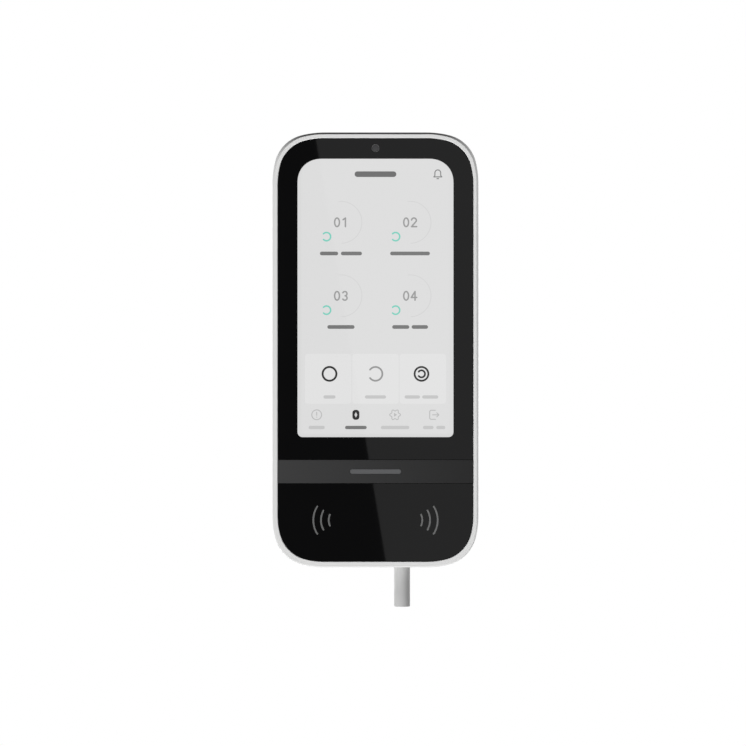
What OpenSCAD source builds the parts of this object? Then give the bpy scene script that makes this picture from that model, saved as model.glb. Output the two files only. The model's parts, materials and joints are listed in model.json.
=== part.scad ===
// Wall-mounted alarm keypad panel with a touch display, a contactless reader and a wired supply.
// The wall is the plane Y = 0, the front faces -Y, X runs to the right and Z runs up.
// Modules draw in a flat frame (x right, y up, z out of the wall), and stand() turns that upright.

/* [Body] */
// Width of the body
body_w = 82.5; // [81:0.5:86]
// Height of the body
body_h = 173; // [172:0.5:178]
// Depth from the wall to the front face
body_d = 22; // [22:0.25:24]
// Width of the light rim round the front
rim = 2.3; // [2:0.1:2.4]
// Radius of the body's corners
corner_r = 17.3; // [15:0.1:19]

/* [Front] */
// Width of the picture on the display
view_w = 62.1; // [58:0.5:62.5]
// Height of the picture on the display
view_h = 110.6; // [104:0.5:111]
// Height of the picture's centre above the body's centre
view_y = 20.7; // [20:0.1:21]
// Height of the dull strip across the front
strip_h = 9.2; // [7:0.2:10]
// Height of the strip's centre above the body's centre
strip_y = -48.4; // [-49:0.1:-48]
// Radius of the light sensor's lens
lens_r = 1.55; // [1.2:0.05:1.6]
// Height of the lens above the body's centre
lens_y = 80.2; // [80:0.1:80.4]

/* [Back plate] */
// Depth of the back plate
plate_d = 3.4; // [3.2:0.1:3.6]
// Distance between the wall screws across
wall_x = 40; // [36:1:42]
// Distance between the wall screws up the wall
wall_y = 128; // [120:1:130]
// Radius of each wall screw hole
wall_r = 2.2; // [1.8:0.1:2.4]
// Travel that frees the body from the hooks
slide_travel = 8; // [7:0.5:8]

/* [Cable] */
// Radius of the cable's jacket
cable_r = 3.2; // [2.8:0.1:3.2]
// Cable position to the right of the centre
cable_x = 10.7; // [10:0.1:11.5]
// Length of cable below the body
cable_out = 16.5; // [10:0.5:60]

/* [Hidden] */
$fn = 64;

eps = 0.01;
gap = 0.1; // gap between neighbouring parts that don't move
run = 0.3; // gap round parts that slide

flat_x = body_w / 2 - corner_r;
flat_y = body_h / 2 - corner_r;

// Levels out of the wall
back_z = plate_d + 0.4;       // outer face of the rear cover
wall_t = 1.8;                 // thickness of the rear cover
inner_z = back_z + wall_t;    // inner face of the rear cover
split_z = 11.5;               // where rear cover and front frame meet
belly_z = 10.6;               // where the rear cover starts to curve in
belly_r = 8;                  // radius of that curve
glass_z = body_d - 0.1;       // front of the glass
glass_t = 1.4;
glue_z = glass_z - glass_t;   // back of the glass
glue_t = 0.4;
ledge_z = glue_z - glue_t;    // ledge that carries the glass
ledge_t = 1.2;
touch_z = glue_z - 0.5;       // back of the touch sensor
lcd_z = touch_z - 1.4;        // back of the display cell
light_z = lcd_z - 2.2;        // back of the backlight
chassis_z = light_z - 0.2;    // front of the chassis plate
chassis_t = 1.2;
board_z = body_d - 10;        // rear face of the main board
board_t = 1.2;
ear_z = board_z + 0.4;        // rear face of the chassis ears
ear_t = 1;
boss_z = ear_z + ear_t + 0.2; // rear end of the frame's bosses

// Plan of the inside
frame_t = 2;                  // wall of the front frame
ledge_u = 4.4;                // how far the ledge reaches in
bar_top = strip_y + strip_h / 2 + 1.4;
bar_low = strip_y - strip_h / 2 - 2.2;
strip_gap = 0.1;
module_w = 64.5;              // display module outline
module_top = view_y + view_h / 2 + 2.1;
module_low = view_y - view_h / 2 - 5.6;
case_x = body_w / 2 - 4.95;   // case screws
case_y = [64, 6, -62];
hook_x = 29;
hook_w = 8;
hook_stem = 2.2;
hook_lip = 4.8;
hook_y = [50, -34];
board_w = 62;
board_top = 74;
board_low = -48;
board_hole = [27.5, 70, -44.5];
tamper = [-14, 22];
tamper_r = 1.3;
tamper_slope = 0.2;           // plunger travel for each unit of slide
power = [-14, 0];
buzzer_at = [-14, -28];
block_x = cable_x;
block_y = -41;
pole = 3.5;                   // spacing of the terminals
bay_x = [cable_x - 11.7, cable_x + 11.7];
bay_top = -35;
bay_low = -79;
bay_floor = 12;
cable_z = 8;
wire_r = 0.8;
wire_off = 0.95;
lock_x = -10;
lock_z = 6.2;
lock_r = 1.5;
reader_y = -68;
reader_flex_x = -20;
wall_mid = 4;                 // height of the wall screws' centre

// ---------- shared shapes ----------

module stand() rotate([90, 0, 0]) children();

module slab(z0, z1) translate([0, 0, z0]) linear_extrude(z1 - z0) children();

module both_x() {
    children();
    mirror([1, 0, 0]) children();
}

module at_corners(dx, dy)
    for (sx = [-1, 1], sy = [-1, 1])
        translate([sx * dx, sy * dy]) children();

module round_rect(w, h, r) {
    square([w - 2 * r, h], center = true);
    square([w, h - 2 * r], center = true);
    at_corners(w / 2 - r, h / 2 - r) circle(r);
}

// The body's outline, moved in by inset
module soft_rect(inset) round_rect(body_w - 2 * inset, body_h - 2 * inset, corner_r - inset);

// A profile (distance in from the outline, height) carried round the body's outline
module soft_sweep() {
    both_x() translate([body_w / 2, flat_y, 0]) rotate([90, 0, 0])
        linear_extrude(2 * flat_y) mirror([1, 0]) children();
    for (a = [90, -90])
        rotate([0, 0, a]) translate([body_h / 2, flat_x, 0]) rotate([90, 0, 0])
            linear_extrude(2 * flat_x) mirror([1, 0]) children();
    for (sy = [0, 1]) mirror([0, sy, 0]) both_x()
        translate([flat_x, flat_y, 0]) rotate_extrude(angle = 90)
            translate([corner_r, 0]) mirror([1, 0]) children();
}

module box(x0, x1, y0, y1, z0, z1) translate([x0, y0, z0]) cube([x1 - x0, y1 - y0, z1 - z0]);

module tube(r, z0, z1) translate([0, 0, z0]) cylinder(r = r, h = z1 - z0);

// A slot outline broken by bridges, so that the piece inside can snap out
module perforation(w, h, r, slot, bridge) difference() {
    round_rect(w, h, r);
    round_rect(w - 2 * slot, h - 2 * slot, r - slot);
    for (side = [-1, 1]) {
        translate([side * w / 4, 0]) square([bridge, h + 1], center = true);
        square([w + 1, bridge], center = true);
    }
}

// A screw whose head rests at z = 0 and whose shank points to +z
module pan_screw(head_r, head_h, shank_r, length) difference() {
    union() {
        tube(head_r, -head_h, 0);
        tube(shank_r, -eps, length);
    }
    for (a = [0, 90])
        rotate([0, 0, a]) translate([-head_r * 0.6, -head_r * 0.12, -head_h - eps])
            cube([head_r * 1.2, head_r * 0.24, head_h * 0.55]);
}

module rod(p, q, r) {
    d = q - p;
    len = norm(d);
    translate(p) rotate([0, acos(d[2] / len), atan2(d[1], d[0])]) cylinder(r = r, h = len);
}

// A round wire through a list of points
module wire(points, r) {
    for (i = [0 : len(points) - 2])
        rod(points[i], points[i + 1], r);
    for (i = [1 : len(points) - 2])
        translate(points[i]) sphere(r * 1.04);
}

// A flat ribbon of one width through points (y, z), with square bends
module ribbon(x, width, t, points)
    for (i = [0 : len(points) - 2]) {
        p = points[i];
        q = points[i + 1];
        box(x - width / 2, x + width / 2,
            min(p[0], q[0]) - t / 2, max(p[0], q[0]) + t / 2,
            min(p[1], q[1]) - t / 2, max(p[1], q[1]) + t / 2);
    }

// ---------- back plate ----------

module at_wall_holes() translate([0, wall_mid]) at_corners(wall_x / 2, wall_y / 2) children();

module screw_seat(floor_t) {
    tube(wall_r, -1, plate_d + 1);
    tube(wall_r + 2, floor_t, plate_d + 1);
}

module hook(y) translate([hook_x - hook_w / 2, y, 0]) {
    cube([hook_w, hook_stem, inner_z + 1.7]);
    translate([0, 0, inner_z + 0.3]) cube([hook_w, hook_stem + hook_lip, 1.4]);
}

// Where the plunger's round tip meets the sloping pad
ramp_low = tamper[1] - 2.5;
ramp_len = slide_travel + 5;

module tamper_ramp_cut() translate([tamper[0] - 2.6, 0, 0]) rotate([90, 0, 90])
    linear_extrude(5.2) polygon([
        [ramp_low, plate_d],
        [ramp_low + ramp_len, plate_d - tamper_slope * ramp_len],
        [ramp_low + ramp_len, plate_d + 1],
        [ramp_low, plate_d + 1]
    ]);

tab_y = 17;
tab_hole = [tamper[0], 10];

module mounting_bracket() color("whitesmoke") stand() difference() {
    union() {
        slab(2, plate_d) soft_rect(4.2);
        slab(0, plate_d) difference() {
            soft_rect(4.2);
            soft_rect(5.8);
        }
        for (y = [-45, -12, 28, 52]) box(-35, 35, y - 0.6, y + 0.6, 0.6, 2.5);
        for (x = [-30, 0, 30]) box(x - 0.6, x + 0.6, -78, 78, 0.6, 2.5);
        slab(0, 2.5) round_rect(8, 24, 2);
        at_wall_holes() tube(6, 0, plate_d);
        slab(0, plate_d) translate([tamper[0], tab_y]) round_rect(18, 36, 4);
        for (y = hook_y) both_x() hook(y);
        box(lock_x - 6, lock_x + 6, -84.2, -82.2, 0, lock_z + 3);
        box(lock_x - 6, lock_x + 6, -84.2, -80, 0, plate_d);
    }
    at_wall_holes() screw_seat(1.5);
    translate(tab_hole) screw_seat(1.5);
    tamper_ramp_cut();
    slab(-1, plate_d + 1) translate([tamper[0], tab_y]) perforation(16, 34, 3, 1.2, 2);
    slab(-1, plate_d + 1) translate([cable_x - 8, -58]) perforation(18, 14, 3, 1.2, 2);
    translate([lock_x, -90, lock_z]) rotate([-90, 0, 0]) cylinder(r = lock_r + 0.1, h = 10);
    box(lock_x - 7, lock_x + 7, -90, -84.2, -1, 20);
}

module locking_screw() color("silver") stand() translate([lock_x, -84.25, lock_z])
    rotate([-90, 0, 0]) pan_screw(2.6, 1.6, lock_r, 8);

// ---------- rear cover ----------

module cover_profile() {
    intersection() {
        difference() {
            translate([belly_r, belly_z]) circle(belly_r);
            translate([belly_r, belly_z]) circle(belly_r - wall_t);
        }
        translate([0, back_z]) square([belly_r, belly_z - back_z]);
    }
    translate([0, belly_z]) square([wall_t, split_z - belly_z]);
    translate([4.1, back_z]) square([2, wall_t]);
    translate([frame_t + 0.2, belly_z - 1]) square([1, split_z - belly_z + 1.7]);
    translate([wall_t - 0.2, belly_z - 1]) square([1, split_z - belly_z + 1]);
}

module case_posts() for (y = case_y) both_x()
    translate([case_x, y]) tube(2.6, back_z + 1.4, ear_z - gap);

module case_bores() for (y = case_y) both_x() translate([case_x, y]) {
    tube(1.1, 0, ear_z + 1);
    tube(2, 0, back_z + 2.2);
}

module hook_slot(y) box(hook_x - hook_w / 2 - 0.5, hook_x + hook_w / 2 + 0.5,
    y - slide_travel - run, y + hook_stem + run, 0, inner_z + 1);

module saddle(y) difference() {
    box(bay_x[0] - 0.6, bay_x[1] + 0.6, y - 0.6, y + 0.6, cable_z - 0.5, bay_floor + 0.5);
    translate([cable_x, y + 2, cable_z]) rotate([90, 0, 0])
        cylinder(r = cable_r + 0.1, h = 4);
}

module bay_walls() {
    difference() {
        box(bay_x[0] - 1.2, bay_x[1] + 1.2, -84.4, bay_top + 1.2, back_z + 1, bay_floor - 0.2);
        box(bay_x[0], bay_x[1], -85, bay_top, 0, bay_floor);
    }
    box(bay_x[0] - 1.2, bay_x[1] + 1.2, -83.2, board_low - 1, bay_floor, bay_floor + 1);
    box(bay_x[0] - 1.2, bay_x[0], -83.2, board_low - 1, bay_floor - 1, bay_floor + 1);
    box(bay_x[1], bay_x[1] + 1.2, -83.2, board_low - 1, bay_floor - 1, bay_floor + 1);
    saddle(-66);
    saddle(-74);
}

module lock_pocket_walls() box(lock_x - 7.8, lock_x + 7.8, -84.8, -79, back_z + 1, split_z);

module rear_cover() color("white") stand() difference() {
    union() {
        soft_sweep() cover_profile();
        slab(back_z, inner_z) soft_rect(5);
        case_posts();
        bay_walls();
        lock_pocket_walls();
    }
    case_bores();
    for (y = hook_y) both_x() hook_slot(y);
    box(bay_x[0], bay_x[1], bay_low, bay_top, 0, inner_z + 0.1);
    translate([cable_x, -90, cable_z]) rotate([-90, 0, 0])
        cylinder(r = cable_r + 0.15, h = 12);
    box(lock_x - 6.6, lock_x + 6.6, -90, -82, 0, lock_z + 3.4);
    translate([lock_x, -90, lock_z]) rotate([-90, 0, 0]) cylinder(r = lock_r + 0.05, h = 20);
    translate(tamper) tube(tamper_r + 0.06, 0, inner_z + 1);
    translate(power) tube(2.3, 0, inner_z + 1);
    translate(buzzer_at) for (ring = [0, 1], i = [0 : (ring == 0 ? 0 : 5)])
        rotate([0, 0, 60 * i]) translate([2.4 * ring, 0, 0]) tube(0.6, 0, inner_z + 1);
}

module case_screws() color("silver") stand() for (y = case_y) both_x()
    translate([case_x, y, back_z + 2.2]) pan_screw(1.8, 1.5, 1, 10.5);

module case_inserts() color("goldenrod") stand() for (y = case_y) both_x()
    translate([case_x, y]) difference() {
        tube(1.6, boss_z + 0.1, boss_z + 4);
        tube(1.02, boss_z - 1, boss_z + 5);
    }

// ---------- front ----------

module frame_profile() {
    difference() {
        translate([0, split_z]) square([frame_t, body_d - split_z]);
        translate([-eps, body_d - 0.8]) square([0.8 + eps, 0.8 + eps]);
    }
    translate([0.8, body_d - 0.8]) intersection() {
        circle(0.8);
        translate([-0.8, 0]) square([0.8, 0.8]);
    }
    translate([frame_t / 2, ledge_z]) square([rim - frame_t / 2, body_d - ledge_z]);
    translate([frame_t / 2, ledge_z - ledge_t]) square([ledge_u - frame_t / 2, ledge_t]);
}

module front_frame() color("white") stand() difference() {
    union() {
        soft_sweep() frame_profile();
        box(-body_w / 2 + 3, body_w / 2 - 3, bar_low, bar_top, ledge_z - ledge_t, ledge_z);
        for (y = case_y) both_x() translate([case_x, y]) tube(2.6, boss_z, ledge_z - ledge_t / 2);
    }
    for (y = case_y) both_x() translate([case_x, y]) {
        tube(1.6, boss_z - 1, boss_z + 4);
        tube(1.1, boss_z - 1, boss_z + 4.9);
    }
    slab(0, body_d) translate([0, strip_y]) round_rect(20.4, 2, 0.9);
}

module cover_glass() color([0.05, 0.05, 0.055]) stand() difference() {
    slab(glue_z, glass_z) intersection() {
        soft_rect(rim + gap);
        translate([-50, strip_y + strip_h / 2 + strip_gap]) square([100, 200]);
    }
    translate([0, lens_y]) tube(lens_r + 0.05, 0, body_d);
}

module reader_window() color([0.05, 0.05, 0.055]) stand() slab(glue_z, glass_z)
    intersection() {
        soft_rect(rim + gap);
        translate([-50, strip_y - strip_h / 2 - strip_gap - 200]) square([100, 200]);
    }

module accent_strip() color([0.2, 0.2, 0.2]) stand() difference() {
    translate([0, strip_y, 0]) {
        half = body_w / 2 - rim - gap;
        box(-half, half, -strip_h / 2, strip_h / 2, glue_z, glass_z + 0.15);
    }
    slab(0, body_d + 1) translate([0, strip_y]) round_rect(20.4, 2, 0.9);
}

module status_light_pipe() color("gray") stand() {
    slab(glue_z - 1.8, glass_z + 0.15) translate([0, strip_y]) round_rect(20.2, 1.8, 0.85);
    slab(glue_z - 2.4, glue_z - 1.7) translate([0, strip_y]) round_rect(22.4, 4, 1);
}

module sensor_lens() color([0.25, 0.25, 0.25]) stand()
    translate([0, lens_y]) tube(lens_r, glue_z - 0.3, glass_z - 0.05);

// The foam adhesive follows the ledge, with a bar above and below the strip
module glass_adhesive() color([0.1, 0.1, 0.1]) stand() slab(ledge_z, glue_z) difference() {
    union() {
        difference() {
            soft_rect(rim + 0.2);
            soft_rect(ledge_u - 0.1);
        }
        translate([-body_w / 2 + 3, bar_low + 0.2])
            square([body_w - 6, bar_top - bar_low - 0.4]);
    }
    translate([0, strip_y]) round_rect(20.6, 2.2, 1);
}

// ---------- display ----------

module module_slab(z0, z1, edge) slab(z0, z1) translate([0, (module_top + module_low) / 2])
    round_rect(module_w - 2 * edge, module_top - module_low - 2 * edge, 1);

module touch_sensor() color([0.3, 0.3, 0.3, 0.6]) stand() module_slab(touch_z, glue_z, 0);

module lcd_panel() color("lightgray") stand() module_slab(lcd_z, touch_z, 0.2);

module backlight_unit() color("silver") stand() difference() {
    module_slab(light_z, lcd_z, 0);
    module_slab(light_z - 1, light_z + 0.3, 6);
}

flex_t = 0.2;

module folded_flex(x, width, z) color("chocolate") stand()
    ribbon(x, width, flex_t, [
        [module_low - 0.15, z],
        [module_low - 1.1, z],
        [module_low - 1.1, board_z + board_t + 0.7],
        [module_low + 2.3, board_z + board_t + 0.7]
    ]);

module display_flex() folded_flex(-10, 18, lcd_z + 0.6);

module touch_flex() folded_flex(16, 8, touch_z + 0.25);

// ---------- chassis ----------

chassis_half = 33.4;
chassis_top = 82;
chassis_low = -80;

module chassis_ears() for (y = case_y) both_x() {
    translate([case_x, y]) tube(2.3, ear_z, ear_z + ear_t);
    box(chassis_half - 1.2, case_x, y - 2.3, y + 2.3, ear_z, ear_z + ear_t);
}

module flex_slot(x, width, y) box(x - width / 2 - 0.5, x + width / 2 + 0.5, y - 0.8, y + 0.8,
    chassis_z - chassis_t - 1, chassis_z + 1);

module board_posts(r, z0, z1) both_x() for (y = [board_hole[1], board_hole[2]])
    translate([board_hole[0], y]) tube(r, z0, z1);

module chassis() color("dimgray") stand() difference() {
    union() {
        slab(chassis_z - chassis_t, chassis_z) translate([0, (chassis_top + chassis_low) / 2])
            round_rect(2 * chassis_half, chassis_top - chassis_low, 13);
        both_x() box(chassis_half - 1.2, chassis_half, -66, 68, ear_z, chassis_z - 0.5);
        chassis_ears();
        board_posts(2.2, board_z + board_t, chassis_z - 0.5);
        translate([0, reader_y]) at_corners(25, 8.5)
            tube(1.6, chassis_z - 0.5, glue_z - 2.1);
        translate([0, lens_y]) box(-3, 3, -1.2, 1.2, chassis_z - 0.5, light_z + 1.2);
        translate([0, strip_y]) at_corners(13, 1.5)
            tube(1, chassis_z - 0.5, chassis_z + 0.8);
    }
    for (y = case_y) both_x() translate([case_x, y]) tube(1.15, 0, body_d);
    board_posts(1.02, board_z, chassis_z - 0.2);
    flex_slot(-10, 18, module_low - 1.1);
    flex_slot(16, 8, module_low - 1.1);
    flex_slot(reader_flex_x, 6, -51);
    for (y = [60, 30, 0, -20]) translate([0, y]) slab(0, body_d) round_rect(40, 12, 3);
}

// ---------- indicator, reader and light sensor ----------

module indicator_board() color("darkgreen") stand() slab(chassis_z + 0.8, chassis_z + 1.4)
    translate([0, strip_y]) round_rect(30, 5, 0.8);

module indicator_leds() color("ivory") stand() for (x = [-7, 0, 7])
    translate([x, strip_y, 0]) box(-0.8, 0.8, -0.5, 0.5, chassis_z + 1.4, chassis_z + 1.7);

reader_w = 66;
reader_h = 23;

module reader_board() color("darkgreen") stand() slab(glue_z - 2.1, glue_z - 1.3)
    translate([0, reader_y]) round_rect(reader_w, reader_h, 5);

module reader_coil() color("orange") stand() for (i = [0 : 4])
    slab(glue_z - 1.3, glue_z - 1.2) translate([0, reader_y]) difference() {
        round_rect(reader_w - 4 - 3 * i, reader_h - 3 - 3 * i, 4.5 - 0.7 * i);
        round_rect(reader_w - 5.6 - 3 * i, reader_h - 4.6 - 3 * i, 3.7 - 0.7 * i);
    }

module ferrite_sheet() color([0.2, 0.2, 0.22]) stand() slab(glue_z - 2.4, glue_z - 2.1)
    translate([0, reader_y]) round_rect(46, 18, 1);

module reader_flex() color("chocolate") stand() ribbon(reader_flex_x, 5, flex_t, [
    [reader_y + reader_h / 2 - 0.6, glue_z - 2.2 - flex_t / 2],
    [-51, glue_z - 2.2 - flex_t / 2],
    [-51, board_z + board_t + 0.7],
    [board_low + 2.8, board_z + board_t + 0.7]
]);

module light_sensor_board() color("darkgreen") stand()
    slab(light_z + 1.2, light_z + 1.8) translate([0, lens_y]) round_rect(8, 3, 0.5);

module light_sensor() color([0.15, 0.15, 0.15]) stand() translate([0, lens_y, 0])
    box(-1, 1, -1, 1, light_z + 1.8, light_z + 2.6);

// ---------- main board ----------

module main_board() color("darkgreen") stand() difference() {
    slab(board_z, board_z + board_t) translate([0, (board_top + board_low) / 2])
        round_rect(board_w, board_top - board_low, 3);
    board_posts(1.2, board_z - 1, board_z + 3);
}

module board_screws() color("silver") stand() both_x()
    for (y = [board_hole[1], board_hole[2]])
        translate([board_hole[0], y, board_z]) pan_screw(1.8, 1.3, 1, 3.4);

module processor_shield() color("silver") stand() translate([2, 42, 0]) difference() {
    box(-14, 14, -12, 12, board_z - 2.4, board_z);
    box(-13.7, 13.7, -11.7, 11.7, board_z - 2.1, board_z + 1);
}

// Chips behind the board: centre x, centre y, width, height, thickness
chips = [
    [-3, 46, 12, 12, 1.2], [10, 44, 8, 8, 1], [2, 33, 10, 4, 0.9], [13, 16, 7, 7, 1],
    [4, 14, 5, 4, 0.9], [12, 2, 6, 6, 1.6], [4, 2, 4, 4, 1.2], [2, -14, 8, 5, 1.1],
    [14, -14, 5, 5, 2], [-20, 38, 4, 6, 1], [4, -26, 4, 4, 1.6], [16, -26, 3.6, 5, 1.4]
];

module board_chips() color([0.12, 0.12, 0.12]) stand() for (c = chips)
    translate([c[0], c[1], 0])
        box(-c[2] / 2, c[2] / 2, -c[3] / 2, c[3] / 2, board_z - c[4], board_z);

// Sockets for the ribbons, in front of the board: centre x, width, edge that takes the ribbon
sockets = [
    [-10, 20, module_low + 1.4], [16, 10, module_low + 1.4], [reader_flex_x, 6.6, board_low + 1.4]
];

module flex_connectors() color("ivory") stand() for (s = sockets) difference() {
    box(s[0] - s[1] / 2, s[0] + s[1] / 2, s[2], s[2] + 3.4,
        board_z + board_t, board_z + board_t + 1.3);
    box(s[0] - s[1] / 2 + 0.7, s[0] + s[1] / 2 - 0.7, s[2] - 1, s[2] + 2,
        board_z + board_t + 0.5, board_z + board_t + 0.9);
}

module radio_antenna() color("gold") stand() translate([0, 68, 0]) {
    box(-18, 8, -0.2, 0.2, board_z - 4, board_z);
    box(-18, 8, -5, 0.2, board_z - 4.3, board_z - 3.9);
    for (x = [-18, -13]) box(x, x + 1.5, -5, -4.6, board_z - 4.1, board_z);
}

// ---------- terminals and cable ----------

function pole_x(i) = block_x + (i - 1.5) * pole;

module terminal_block() color("seagreen") stand() difference() {
    box(block_x - 7.6, block_x + 7.6, block_y - 4, block_y + 4, 4.8, board_z);
    for (i = [0 : 3]) {
        translate([pole_x(i), block_y - 5, cable_z]) rotate([-90, 0, 0])
            cylinder(r = 1.25, h = 6);
        translate([pole_x(i), block_y, 0]) tube(1.25, 4, 7);
        translate([pole_x(i), block_y, 0]) box(-1.4, 1.4, -1.6, 2.6, 6, 10.2);
    }
}

module terminal_screws() color("silver") stand() for (i = [0 : 3])
    translate([pole_x(i), block_y, 5.6]) difference() {
        tube(1.15, 0, 1.3);
        translate([-1.3, -0.2, -0.1]) cube([2.6, 0.4, 0.7]);
    }

module terminal_clamps() color("lightgray") stand() for (i = [0 : 3])
    translate([pole_x(i), block_y, 0]) difference() {
        box(-1.3, 1.3, -1.5, 2.5, 6.95, 10.1);
        translate([0, -3, cable_z + 0.2]) rotate([-90, 0, 0]) cylinder(r = 0.85, h = 7);
    }

cable_end = -body_h / 2 - cable_out;
jacket_top = -61;

module cable_jacket() color("gainsboro") stand()
    translate([cable_x, cable_end, cable_z]) rotate([-90, 0, 0]) difference() {
        tube(cable_r, 0, jacket_top - cable_end);
        tube(cable_r - 0.9, -1, jacket_top - cable_end + 1);
    }

// Each conductor runs straight through the jacket, then bends to its terminal
module conductor(i, side, level) {
    x0 = cable_x + side * wire_off;
    z0 = cable_z + level * wire_off;
    end_z = cable_z + 0.2;
    wire([
        [x0, cable_end + 0.1, z0],
        [x0, jacket_top + 1.5, z0],
        [x0 + (pole_x(i) - x0) * 0.5, jacket_top + 5.5, (z0 + end_z) / 2],
        [pole_x(i), jacket_top + 10.5, end_z],
        [pole_x(i), block_y + 0.5, end_z]
    ], wire_r);
}

module wire_red() color("red") stand() conductor(0, -1, -1);

module wire_black() color([0.1, 0.1, 0.1]) stand() conductor(1, -1, 1);

module wire_green() color("green") stand() conductor(2, 1, 1);

module wire_yellow() color("gold") stand() conductor(3, 1, -1);

module cable_tie() color("white") stand() translate([cable_x, -71.25, cable_z])
    rotate([-90, 0, 0]) difference() {
        union() {
            tube(cable_r + 0.75, 0, 2.5);
            translate([cable_r + 0.4, -2, -0.4]) cube([3.2, 4, 3.3]);
            translate([cable_r + 1.2, 1.8, 0.2]) cube([0.9, 1.6, 2.1]);
        }
        tube(cable_r + 0.05, -1, 4);
    }

// ---------- buzzer, switches and plungers ----------

module buzzer() color([0.1, 0.1, 0.1]) stand() translate(buzzer_at) difference() {
    tube(6, board_z - 4, board_z);
    tube(1.2, board_z - 5, board_z - 3);
}

module buzzer_gasket() color([0.2, 0.2, 0.2]) stand() translate(buzzer_at) difference() {
    tube(6, inner_z, board_z - 4);
    tube(4, inner_z - 1, board_z);
}

// The tip is half a ball that rests on the bracket's sloping pad
pad_z = plate_d - tamper_slope * (tamper[1] - ramp_low);
tip_z = pad_z + (tamper_r + 0.03) * sqrt(1 + tamper_slope * tamper_slope);
switch_top = board_z - 2.4;
collar_z = inner_z + slide_travel * tamper_slope + 0.2;
collar_t = 0.8;

module tamper_switch() color([0.15, 0.15, 0.15]) stand() translate(tamper) difference() {
    translate([-3.5, -3.5, 0]) box(0, 7, 0, 7, switch_top, board_z);
    tube(0.95, 0, board_z - 0.1);
}

module tamper_plunger() color("ivory") stand() translate(tamper) {
    tube(tamper_r, tip_z, collar_z + eps);
    translate([0, 0, tip_z]) sphere(tamper_r);
    tube(2.4, collar_z, collar_z + collar_t);
    tube(0.85, collar_z, board_z - 0.25);
}

spring_r = 1.7;
spring_wire = 0.16;
spring_turns = 2.5;
spring_steps = 45;
spring_sides = 8;

// Points of a round wire wound into a coil, ring by ring
function coil_ring(i, rise) = let (a = 360 * spring_turns * i / spring_steps)
    [for (k = [0 : spring_sides - 1]) let (
            b = 360 * k / spring_sides,
            r = spring_r + spring_wire * cos(b)
        )
        [r * cos(a), r * sin(a), rise * i / spring_steps + spring_wire * sin(b)]];

module coil(rise) {
    n = spring_sides;
    last = spring_steps * n;
    points = [for (i = [0 : spring_steps]) each coil_ring(i, rise)];
    sides = [for (i = [0 : spring_steps - 1], k = [0 : n - 1])
            let (a = i * n + k, b = i * n + (k + 1) % n) each [[a, a + n, b], [b, a + n, b + n]]];
    start_cap = [for (k = [1 : n - 2]) [0, k, k + 1]];
    end_cap = [for (k = [1 : n - 2]) [last, last + k + 1, last + k]];
    polyhedron(points, concat(sides, start_cap, end_cap));
}

module tamper_spring() color("silver") stand()
    translate([tamper[0], tamper[1], collar_z + collar_t + spring_wire + 0.02])
        coil(switch_top - collar_z - collar_t - 2 * spring_wire - 0.04);

module power_switch() color([0.15, 0.15, 0.15]) stand() translate(power) {
    box(-3, 3, -3, 3, board_z - 2.6, board_z);
    tube(1.1, board_z - 3.2, board_z - 2.5);
}

power_travel = 0.6;

module power_button() color("gray") stand() translate(power) {
    tube(2.2, back_z + 0.1, board_z - 3.3 - power_travel);
    tube(3, inner_z + 0.1, inner_z + 1);
}

mounting_bracket();
rear_cover();
front_frame();
cover_glass();
accent_strip();
reader_window();
sensor_lens();
status_light_pipe();
glass_adhesive();
touch_sensor();
lcd_panel();
backlight_unit();
display_flex();
touch_flex();
chassis();
indicator_board();
indicator_leds();
reader_board();
reader_coil();
ferrite_sheet();
reader_flex();
light_sensor_board();
light_sensor();
main_board();
processor_shield();
board_chips();
flex_connectors();
radio_antenna();
terminal_block();
terminal_screws();
terminal_clamps();
buzzer();
buzzer_gasket();
tamper_switch();
tamper_spring();
tamper_plunger();
power_switch();
power_button();
case_screws();
case_inserts();
board_screws();
locking_screw();
cable_jacket();
cable_tie();
wire_red();
wire_black();
wire_green();
wire_yellow();
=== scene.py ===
"""Looks for the alarm keypad panel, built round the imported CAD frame."""

import json
import math

import bpy
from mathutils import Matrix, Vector
from mathutils.geometry import tessellate_polygon


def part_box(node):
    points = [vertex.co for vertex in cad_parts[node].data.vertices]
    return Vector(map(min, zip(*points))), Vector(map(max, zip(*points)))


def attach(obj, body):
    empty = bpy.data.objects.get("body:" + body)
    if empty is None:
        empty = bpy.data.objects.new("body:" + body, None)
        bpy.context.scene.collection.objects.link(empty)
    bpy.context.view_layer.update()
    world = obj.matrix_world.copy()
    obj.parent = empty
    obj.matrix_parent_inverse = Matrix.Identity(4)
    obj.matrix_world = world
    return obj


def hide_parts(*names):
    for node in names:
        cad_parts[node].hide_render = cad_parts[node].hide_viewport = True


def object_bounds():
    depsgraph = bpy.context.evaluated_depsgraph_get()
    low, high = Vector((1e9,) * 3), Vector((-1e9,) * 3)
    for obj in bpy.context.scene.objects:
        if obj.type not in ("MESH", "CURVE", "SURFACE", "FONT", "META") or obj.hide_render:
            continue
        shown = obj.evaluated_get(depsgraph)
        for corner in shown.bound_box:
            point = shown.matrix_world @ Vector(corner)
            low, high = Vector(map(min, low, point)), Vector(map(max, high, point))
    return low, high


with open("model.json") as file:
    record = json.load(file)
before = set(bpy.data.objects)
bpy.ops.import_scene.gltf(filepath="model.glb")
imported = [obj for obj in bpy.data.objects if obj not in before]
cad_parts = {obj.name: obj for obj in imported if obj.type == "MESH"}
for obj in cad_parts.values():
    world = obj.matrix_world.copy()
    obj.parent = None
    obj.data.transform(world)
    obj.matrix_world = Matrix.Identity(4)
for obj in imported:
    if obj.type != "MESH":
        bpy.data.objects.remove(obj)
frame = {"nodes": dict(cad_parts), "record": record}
cad_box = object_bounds()

MM = 0.001
scene = bpy.context.scene


def at(p):
    """A point of the flat frame (x right, y up, z out of the wall, in mm) in metres."""
    return (p[0] * MM, -p[2] * MM, p[1] * MM)


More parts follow.
